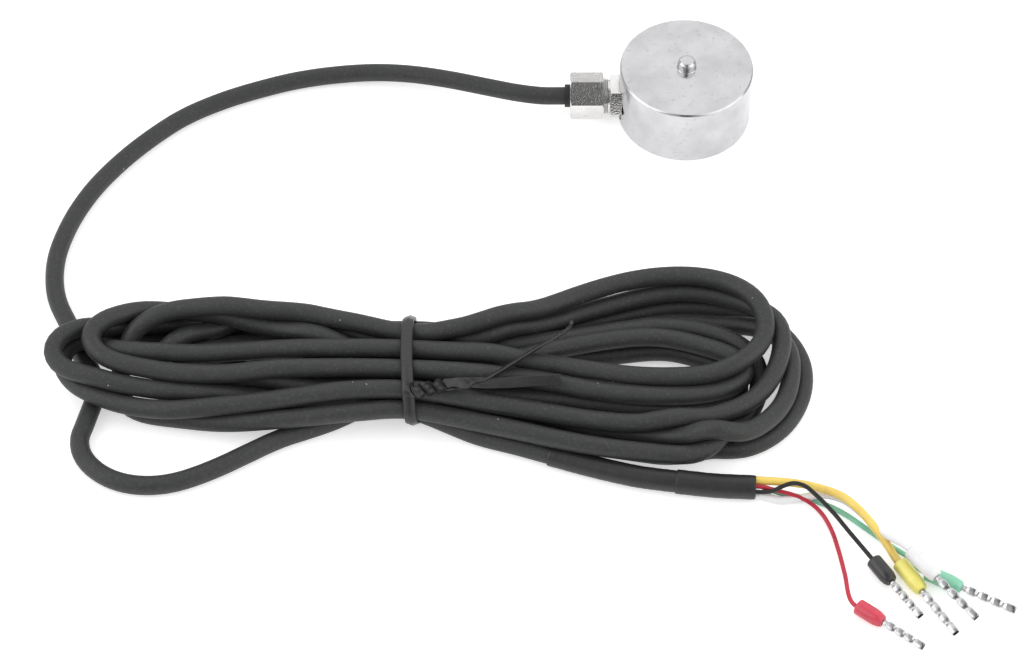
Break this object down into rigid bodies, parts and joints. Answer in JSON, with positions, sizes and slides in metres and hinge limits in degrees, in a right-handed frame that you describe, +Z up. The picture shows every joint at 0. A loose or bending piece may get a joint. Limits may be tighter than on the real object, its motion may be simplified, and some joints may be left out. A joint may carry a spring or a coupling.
{
  "type": "button compression load cell",
  "caption": "Small round steel load cell with a domed load button, side cable gland, tied hank of cable and coloured leads with crimped ferrules.",
  "frame": {"origin": "centre of the mounting face, on the body's axis", "axes": "+Z up along the body's axis towards the load button, -X along the cable gland"},
  "size_m": [0.1753, 0.139, 0.015],
  "materials": {
    "nickel_steel": "nickel plated, satin bright",
    "cover_steel": "satin",
    "gauge_foil": "amber polyimide film",
    "board_green": "solder mask",
    "gland_plating": "bright nickel plated brass",
    "seal_rubber": "matte",
    "cable_jacket": "matte PVC",
    "tie_plastic": "satin",
    "shrink_sleeve": "satin heat-shrink",
    "lead_red": "PVC insulation",
    "lead_black": "PVC insulation",
    "lead_yellow": "PVC insulation",
    "lead_white": "PVC insulation",
    "lead_green": "PVC insulation",
    "collar_red": "moulded polypropylene",
    "collar_black": "moulded polypropylene",
    "collar_yellow": "moulded polypropylene",
    "collar_white": "moulded polypropylene",
    "collar_green": "moulded polypropylene",
    "tinned_copper": "tin plated, bright"
  },
  "bodies": {
    "root": {"sensor_body": "nickel_steel", "base_cover": "cover_steel", "gauge_1": "gauge_foil", "gauge_2": "gauge_foil", "gauge_3": "gauge_foil", "gauge_4": "gauge_foil", "terminal_board": "board_green", "inner_leads": "lead_black", "gland_body": "gland_plating", "seal_bush": "seal_rubber", "gland_nut": "gland_plating", "cable_core": "cable_jacket", "cable_lead": "cable_jacket", "cable_loop": "cable_jacket", "cable_hank": "cable_jacket", "cable_tail": "cable_jacket", "twist_tie": "tie_plastic", "shrink_inner": "shrink_sleeve", "shrink_outer": "shrink_sleeve", "wire_red": "lead_red", "wire_black": "lead_black", "wire_yellow": "lead_yellow", "wire_white": "lead_white", "wire_green": "lead_green", "collar_red": "collar_red", "collar_black": "collar_black", "collar_yellow": "collar_yellow", "collar_white": "collar_white", "collar_green": "collar_green", "pin_red": "tinned_copper", "pin_black": "tinned_copper", "pin_yellow": "tinned_copper", "pin_white": "tinned_copper", "pin_green": "tinned_copper"}
  },
  "joints": []
}
